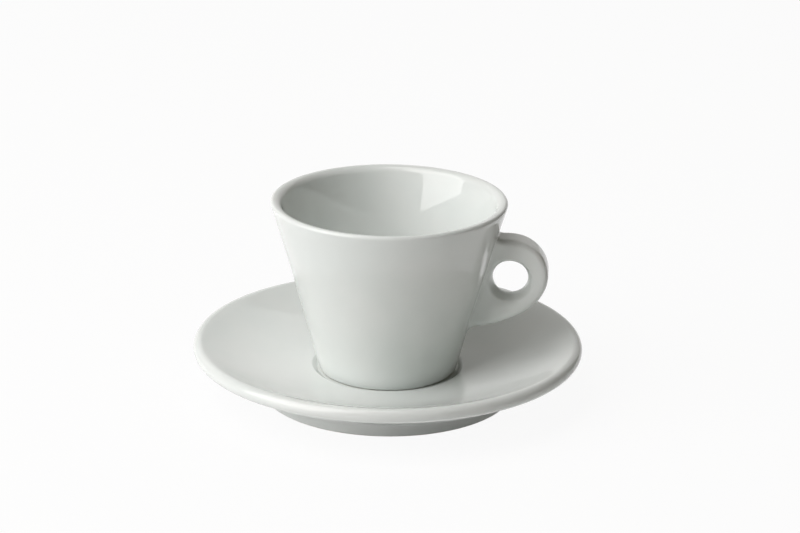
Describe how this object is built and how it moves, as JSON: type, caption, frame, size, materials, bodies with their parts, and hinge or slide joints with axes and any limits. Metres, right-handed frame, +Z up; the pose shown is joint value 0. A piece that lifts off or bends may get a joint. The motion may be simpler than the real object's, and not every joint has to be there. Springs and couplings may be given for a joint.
{
  "type": "cappuccino cup with saucer",
  "caption": "White porcelain cappuccino cup with a flared wall, round lip and ring handle, standing in the shallow well of a wide saucer with a rounded rim and a raised foot.",
  "frame": {"origin": "centre of the saucer's foot ring, on the plane that the saucer stands on", "axes": "+Z up along the common axis of the saucer and the cup, +X from that axis towards the cup's handle, +Y completes a right-handed frame"},
  "size_m": [0.15, 0.15, 0.077],
  "materials": {
    "glazed_porcelain": "clear glossy glaze over white hard-paste porcelain, bare on the foot rings"
  },
  "bodies": {
    "saucer": {"saucer": "glazed_porcelain"},
    "cup": {"cup_body": "glazed_porcelain", "cup_handle": "glazed_porcelain"}
  },
  "joints": [
    {"name": "cup_lift", "type": "slide", "parent": "saucer", "child": "cup", "axis": [0, 0, 1], "range_m": [0, 0.12]}
  ]
}
